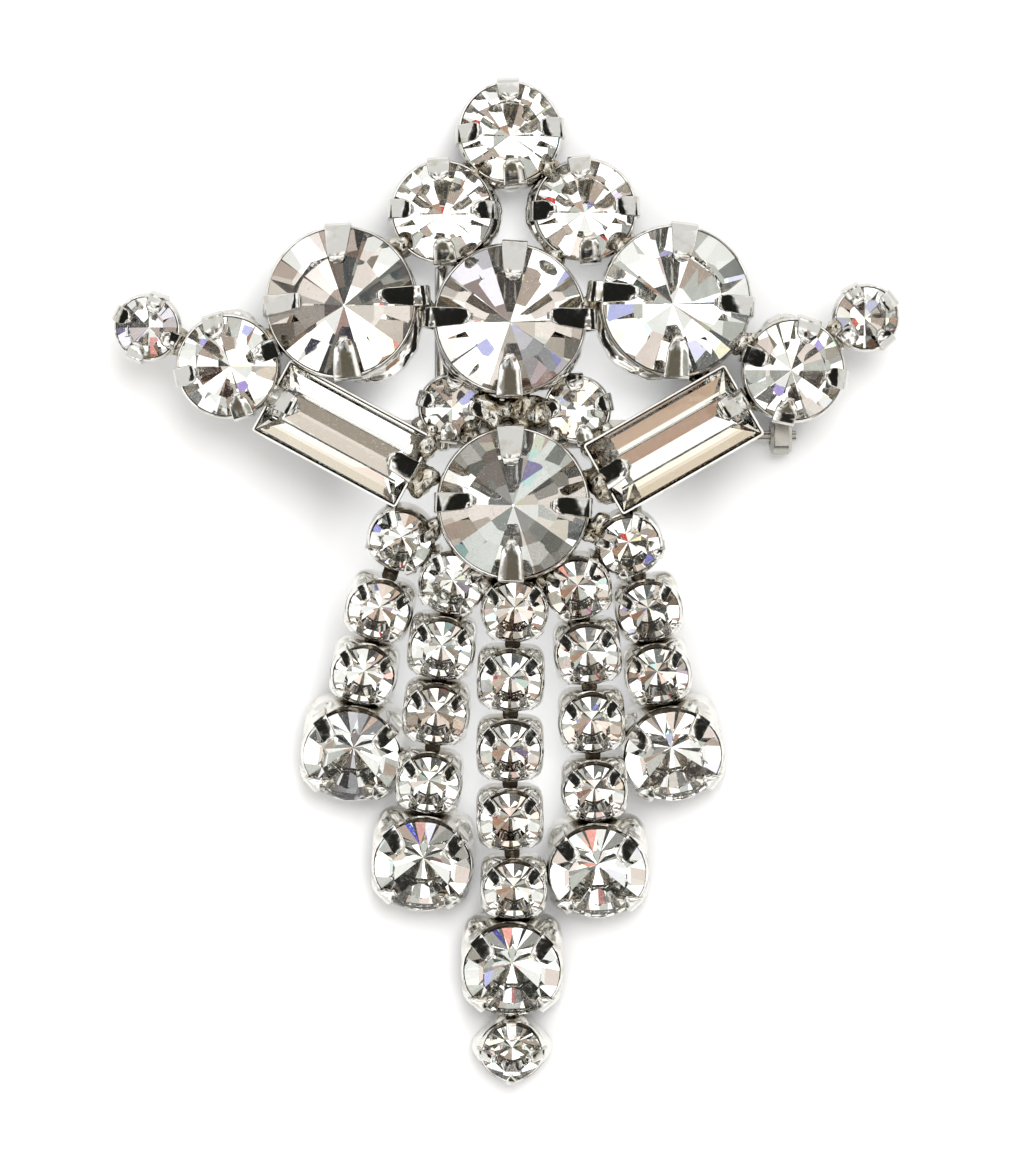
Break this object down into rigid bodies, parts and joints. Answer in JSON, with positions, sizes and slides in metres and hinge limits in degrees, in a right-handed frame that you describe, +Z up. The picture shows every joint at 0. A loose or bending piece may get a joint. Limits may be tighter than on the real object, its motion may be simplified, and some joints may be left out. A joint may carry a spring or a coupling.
{
  "type": "crystal brooch",
  "caption": "Kite-shaped brooch of clear cut stones in claw settings, with winged arms, slanted baguettes, a fringe of cup-chain strands and a plain pin back.",
  "frame": {"origin": "middle of the brooch's box, on the surface that it lies on", "axes": "+Z up from the surface and out of the stones' faces, +Y from the tip of the fringe to the top stone, +X to the right as seen from above"},
  "size_m": [0.0606, 0.0798, 0.0116],
  "materials": {
    "crystal": "polished clear cut glass with a foil back",
    "plated_metal": "bright plating over brass, darkened in the recesses, with rough solder",
    "pin_metal": "plain worn plating"
  },
  "bodies": {
    "root": {"stone_top": "crystal", "stone_row2_left": "crystal", "stone_row2_right": "crystal", "stone_big_left": "crystal", "stone_big_centre": "crystal", "stone_big_right": "crystal", "stone_big_bottom": "crystal", "stone_arm_left": "crystal", "stone_arm_right": "crystal", "stone_tip_left": "crystal", "stone_tip_right": "crystal", "stone_small_left": "crystal", "stone_small_right": "crystal", "baguette_left": "crystal", "baguette_right": "crystal", "stone_strand_1_1": "crystal", "stone_strand_1_2": "crystal", "stone_strand_1_3": "crystal", "stone_strand_1_4": "crystal", "stone_strand_2_1": "crystal", "stone_strand_2_2": "crystal", "stone_strand_2_3": "crystal", "stone_strand_2_4": "crystal", "stone_strand_2_5": "crystal", "stone_strand_3_1": "crystal", "stone_strand_3_2": "crystal", "stone_strand_3_3": "crystal", "stone_strand_3_4": "crystal", "stone_strand_3_5": "crystal", "stone_strand_3_6": "crystal", "stone_strand_3_7": "crystal", "stone_strand_4_1": "crystal", "stone_strand_4_2": "crystal", "stone_strand_4_3": "crystal", "stone_strand_4_4": "crystal", "stone_strand_4_5": "crystal", "stone_strand_5_1": "crystal", "stone_strand_5_2": "crystal", "stone_strand_5_3": "crystal", "stone_strand_5_4": "crystal", "body_metal": "plated_metal", "strand_1": "plated_metal", "strand_2": "plated_metal", "strand_3": "plated_metal", "strand_4": "plated_metal", "strand_5": "plated_metal", "pin_back": "pin_metal"}
  },
  "joints": []
}
